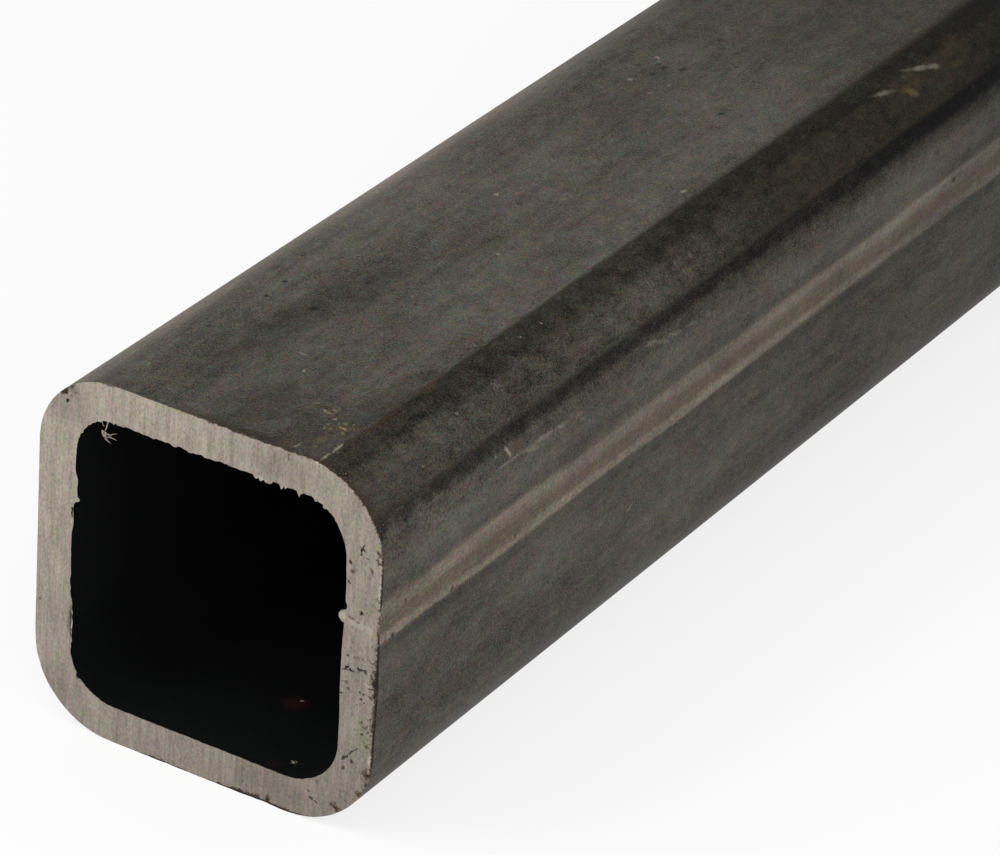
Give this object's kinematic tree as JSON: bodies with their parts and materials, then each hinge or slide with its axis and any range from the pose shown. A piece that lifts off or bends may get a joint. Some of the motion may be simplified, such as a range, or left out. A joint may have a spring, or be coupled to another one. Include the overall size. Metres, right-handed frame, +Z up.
{
  "type": "square steel tube",
  "caption": "Square steel tube with rolled corners, one straight weld seam and saw-cut open ends, for framing.",
  "frame": {"origin": "on the floor, at the middle of the lower face's length and width", "axes": "+Y along the tube, away from the near saw-cut end; +Z up; +X towards the wall with the weld seam"},
  "size_m": [0.0636, 0.3048, 0.0635],
  "materials": {
    "steel": "dark mill scale outside and in, with a browned weld strip and bright saw-cut ends"
  },
  "bodies": {
    "root": {"square_tube": "steel"}
  },
  "joints": []
}
